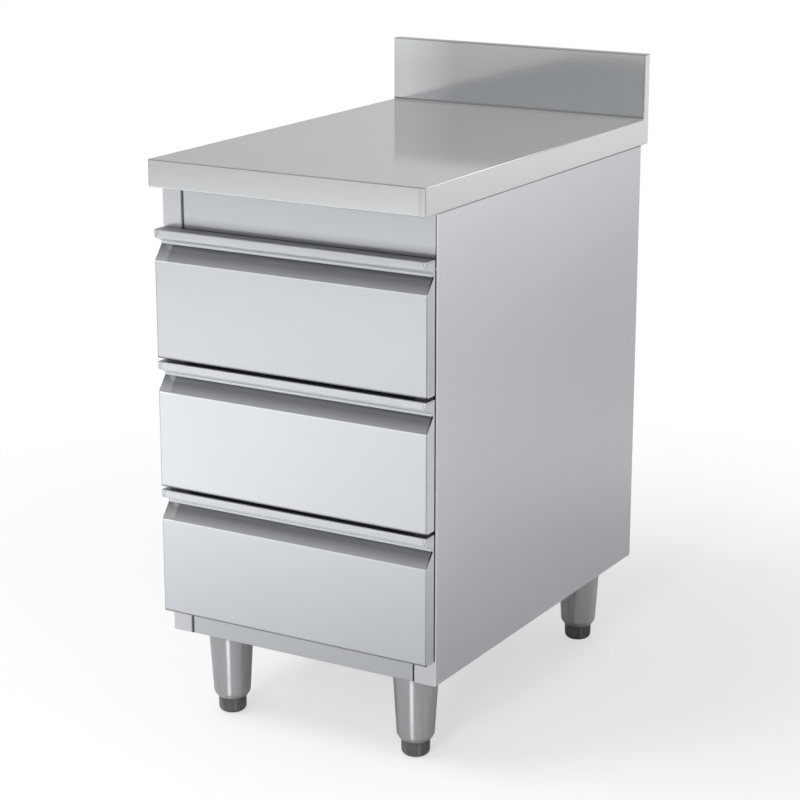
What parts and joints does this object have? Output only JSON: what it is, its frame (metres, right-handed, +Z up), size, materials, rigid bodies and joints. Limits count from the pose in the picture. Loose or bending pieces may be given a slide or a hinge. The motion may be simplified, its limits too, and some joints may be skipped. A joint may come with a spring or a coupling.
{
  "type": "drawer cabinet",
  "caption": "Stainless steel drawer cabinet: folded worktop with a rear upstand, full-width drawers with grip lips on telescopic slides, and round legs with levelling feet.",
  "frame": {"origin": "on the floor, under the middle of the worktop", "axes": "+X to the right as seen from the front, +Y to the back, +Z up"},
  "size_m": [0.45, 0.7, 0.95],
  "materials": {
    "worktop_steel": "stainless steel, fine grain along the width, satin",
    "body_steel": "stainless steel, fine grain, satin",
    "plain_steel": "plain mill-finish stainless steel",
    "leg_steel": "spun stainless steel sleeve, satin",
    "zinc": "zinc plated",
    "bright_steel": "bright plated steel",
    "board": "bare chipboard",
    "plastic": "moulded dark grey plastic",
    "rubber": "soft black rubber"
  },
  "bodies": {
    "cabinet": {"worktop": "worktop_steel", "worktop_board": "board", "side_panel_left": "body_steel", "side_panel_right": "body_steel", "back_panel": "plain_steel", "floor_panel": "plain_steel", "top_fascia": "body_steel", "bottom_rail": "body_steel", "runner_posts_left": "zinc", "runner_posts_right": "zinc", "bumpers": "rubber", "carcass_screws": "zinc", "rail_screws": "bright_steel", "leg_plates": "zinc", "leg_bolts": "bright_steel", "leg_inserts": "plastic", "leg_front_left": "leg_steel", "leg_front_right": "leg_steel", "leg_rear_left": "leg_steel", "leg_rear_right": "leg_steel", "outer_rail_left_1": "zinc", "outer_rail_right_1": "zinc", "outer_rail_left_2": "zinc", "outer_rail_right_2": "zinc", "outer_rail_left_3": "zinc", "outer_rail_right_3": "zinc"},
    "drawer_1": {"drawer_front_1": "body_steel", "drawer_liner_1": "plain_steel", "drawer_box_1": "plain_steel", "drawer_rivets_1": "bright_steel", "inner_rail_left_1": "zinc", "inner_rail_right_1": "zinc"},
    "middle_rails_1": {"middle_rail_left_1": "zinc", "middle_rail_right_1": "zinc"},
    "outer_cage_pair_1": {"outer_cages_1": "bright_steel"},
    "inner_cage_pair_1": {"inner_cages_1": "bright_steel"},
    "drawer_2": {"drawer_front_2": "body_steel", "drawer_liner_2": "plain_steel", "drawer_box_2": "plain_steel", "drawer_rivets_2": "bright_steel", "inner_rail_left_2": "zinc", "inner_rail_right_2": "zinc"},
    "middle_rails_2": {"middle_rail_left_2": "zinc", "middle_rail_right_2": "zinc"},
    "outer_cage_pair_2": {"outer_cages_2": "bright_steel"},
    "inner_cage_pair_2": {"inner_cages_2": "bright_steel"},
    "drawer_3": {"drawer_front_3": "body_steel", "drawer_liner_3": "plain_steel", "drawer_box_3": "plain_steel", "drawer_rivets_3": "bright_steel", "inner_rail_left_3": "zinc", "inner_rail_right_3": "zinc"},
    "middle_rails_3": {"middle_rail_left_3": "zinc", "middle_rail_right_3": "zinc"},
    "outer_cage_pair_3": {"outer_cages_3": "bright_steel"},
    "inner_cage_pair_3": {"inner_cages_3": "bright_steel"},
    "foot_front_left": {"foot_front_left": "plastic"},
    "foot_front_right": {"foot_front_right": "plastic"},
    "foot_rear_left": {"foot_rear_left": "plastic"},
    "foot_rear_right": {"foot_rear_right": "plastic"}
  },
  "joints": [
    {"name": "drawer_1_slide", "type": "slide", "parent": "cabinet", "child": "drawer_1", "axis": [0, -1, 0], "range_m": [0, 0.53]},
    {"name": "middle_rails_1_slide", "type": "slide", "parent": "cabinet", "child": "middle_rails_1", "axis": [0, -1, 0], "range_m": [0, 0.265]},
    {"name": "outer_cages_1_slide", "type": "slide", "parent": "cabinet", "child": "outer_cage_pair_1", "axis": [0, -1, 0], "range_m": [0, 0.1325]},
    {"name": "inner_cages_1_slide", "type": "slide", "parent": "cabinet", "child": "inner_cage_pair_1", "axis": [0, -1, 0], "range_m": [0, 0.3975]},
    {"name": "drawer_2_slide", "type": "slide", "parent": "cabinet", "child": "drawer_2", "axis": [0, -1, 0], "range_m": [0, 0.53]},
    {"name": "middle_rails_2_slide", "type": "slide", "parent": "cabinet", "child": "middle_rails_2", "axis": [0, -1, 0], "range_m": [0, 0.265]},
    {"name": "outer_cages_2_slide", "type": "slide", "parent": "cabinet", "child": "outer_cage_pair_2", "axis": [0, -1, 0], "range_m": [0, 0.1325]},
    {"name": "inner_cages_2_slide", "type": "slide", "parent": "cabinet", "child": "inner_cage_pair_2", "axis": [0, -1, 0], "range_m": [0, 0.3975]},
    {"name": "drawer_3_slide", "type": "slide", "parent": "cabinet", "child": "drawer_3", "axis": [0, -1, 0], "range_m": [0, 0.53]},
    {"name": "middle_rails_3_slide", "type": "slide", "parent": "cabinet", "child": "middle_rails_3", "axis": [0, -1, 0], "range_m": [0, 0.265]},
    {"name": "outer_cages_3_slide", "type": "slide", "parent": "cabinet", "child": "outer_cage_pair_3", "axis": [0, -1, 0], "range_m": [0, 0.1325]},
    {"name": "inner_cages_3_slide", "type": "slide", "parent": "cabinet", "child": "inner_cage_pair_3", "axis": [0, -1, 0], "range_m": [0, 0.3975]},
    {"name": "foot_front_left_height", "type": "slide", "parent": "cabinet", "child": "foot_front_left", "axis": [0, 0, 1], "range_m": [-0.025, 0.008]},
    {"name": "foot_front_right_height", "type": "slide", "parent": "cabinet", "child": "foot_front_right", "axis": [0, 0, 1], "range_m": [-0.025, 0.008]},
    {"name": "foot_rear_left_height", "type": "slide", "parent": "cabinet", "child": "foot_rear_left", "axis": [0, 0, 1], "range_m": [-0.025, 0.008]},
    {"name": "foot_rear_right_height", "type": "slide", "parent": "cabinet", "child": "foot_rear_right", "axis": [0, 0, 1], "range_m": [-0.025, 0.008]}
  ],
  "couplings": [
    {"joint": "middle_rails_1_slide", "follows": "drawer_1_slide", "ratio": 0.5},
    {"joint": "outer_cages_1_slide", "follows": "drawer_1_slide", "ratio": 0.25},
    {"joint": "inner_cages_1_slide", "follows": "drawer_1_slide", "ratio": 0.75},
    {"joint": "middle_rails_2_slide", "follows": "drawer_2_slide", "ratio": 0.5},
    {"joint": "outer_cages_2_slide", "follows": "drawer_2_slide", "ratio": 0.25},
    {"joint": "inner_cages_2_slide", "follows": "drawer_2_slide", "ratio": 0.75},
    {"joint": "middle_rails_3_slide", "follows": "drawer_3_slide", "ratio": 0.5},
    {"joint": "outer_cages_3_slide", "follows": "drawer_3_slide", "ratio": 0.25},
    {"joint": "inner_cages_3_slide", "follows": "drawer_3_slide", "ratio": 0.75}
  ]
}
